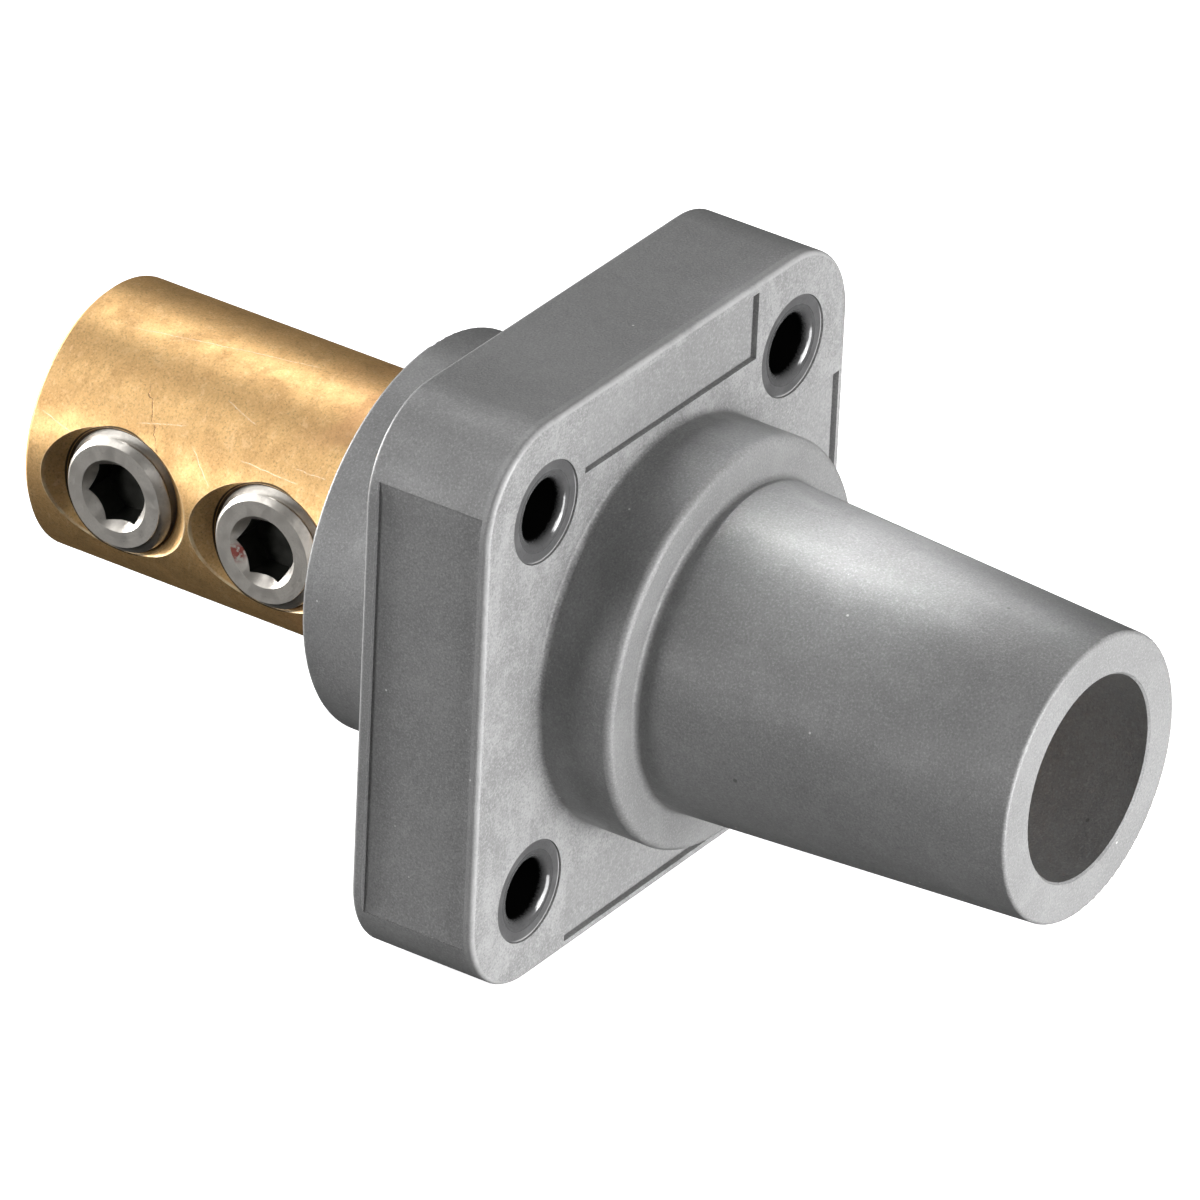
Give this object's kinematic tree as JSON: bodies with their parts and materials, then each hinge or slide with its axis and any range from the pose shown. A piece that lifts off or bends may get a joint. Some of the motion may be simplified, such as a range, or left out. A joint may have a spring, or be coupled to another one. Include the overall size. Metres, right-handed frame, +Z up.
{
  "type": "single pole receptacle",
  "caption": "Panel-mount single pole power receptacle: square flange, tapered insulating nose and a brass contact barrel with set screws for the conductor.",
  "frame": {"origin": "centre of the flange's rear face, which seats on the panel and is the centre of the four mounting holes", "axes": "-Y along the nose, towards the mating connector; +Y along the conductor barrel; +Z up; the set screws face -X"},
  "size_m": [0.0572, 0.1082, 0.0572],
  "materials": {
    "grey_moulding": "matte moulded elastomer, mid grey",
    "brass_contact": "machined brass, handled and lightly scratched",
    "screw_steel": "turned steel, satin",
    "pin_steel": "ground steel",
    "bushing_metal": "dark plated metal, semi-gloss"
  },
  "bodies": {
    "receptacle": {"housing": "grey_moulding", "contact": "brass_contact", "cam_pin": "pin_steel", "mounting_bushing_top_left": "bushing_metal", "mounting_bushing_top_right": "bushing_metal", "mounting_bushing_bottom_left": "bushing_metal", "mounting_bushing_bottom_right": "bushing_metal"},
    "rear_screw": {"set_screw_rear": "screw_steel"},
    "front_screw": {"set_screw_front": "screw_steel"}
  },
  "joints": [
    {"name": "rear_screw_travel", "type": "slide", "parent": "receptacle", "child": "rear_screw", "axis": [1, 0, 0], "range_m": [-0.002, 0.0038]},
    {"name": "front_screw_travel", "type": "slide", "parent": "receptacle", "child": "front_screw", "axis": [1, 0, 0], "range_m": [-0.002, 0.0038]}
  ]
}
